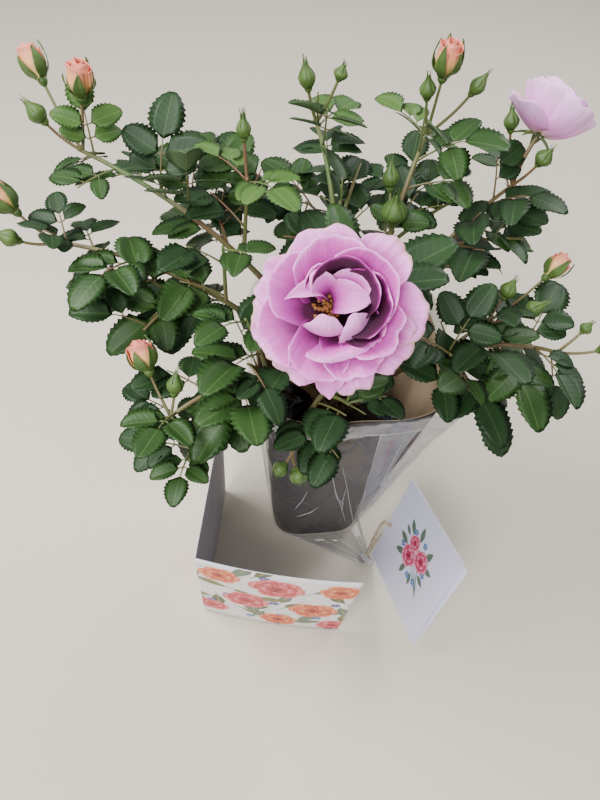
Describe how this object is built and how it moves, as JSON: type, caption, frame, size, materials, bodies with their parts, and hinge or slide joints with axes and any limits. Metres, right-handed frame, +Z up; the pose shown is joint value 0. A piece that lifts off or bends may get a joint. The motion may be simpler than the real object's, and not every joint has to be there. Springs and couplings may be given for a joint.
{
  "type": "rose bush in a pot",
  "caption": "Bushy lilac rose in a square pot, with a brown paper sleeve in clear film, a folded card wrap and a card tag on twine.",
  "frame": {"origin": "centre of the pot's underside, on the ground", "axes": "+Z up the plant; -Y is the front, towards the card wrap and the open bloom; +X is the tag side"},
  "size_m": [0.538, 0.3882, 0.577],
  "materials": {
    "pot_plastic": "matt",
    "compost": "rough",
    "bag_film": "crinkled",
    "brown_paper": "matt",
    "clear_film": "clear",
    "printed_card": "satin",
    "twine": "rough",
    "bark": "rough",
    "foliage": "satin",
    "petals": "satin"
  },
  "bodies": {
    "root": {"pot": "pot_plastic", "root_ball": "compost", "root_bag": "bag_film", "paper_sleeve": "brown_paper", "film_sleeve": "clear_film", "film_tail": "clear_film", "card_wrap": "printed_card", "tag_front": "printed_card", "tag_back": "printed_card", "twine": "twine", "trunk": "bark", "cane_left_back": "bark", "cane_left": "bark", "cane_left_front": "bark", "cane_front": "bark", "cane_centre": "bark", "cane_back": "bark", "cane_back_right": "bark", "cane_right_back": "bark", "cane_right": "bark", "foliage_left_back": "foliage", "foliage_left": "foliage", "foliage_left_front": "foliage", "foliage_front": "foliage", "foliage_centre": "foliage", "foliage_back": "foliage", "foliage_back_right": "foliage", "foliage_right_back": "foliage", "foliage_right": "foliage", "bloom_main": "petals", "bloom_side": "petals"}
  },
  "joints": []
}
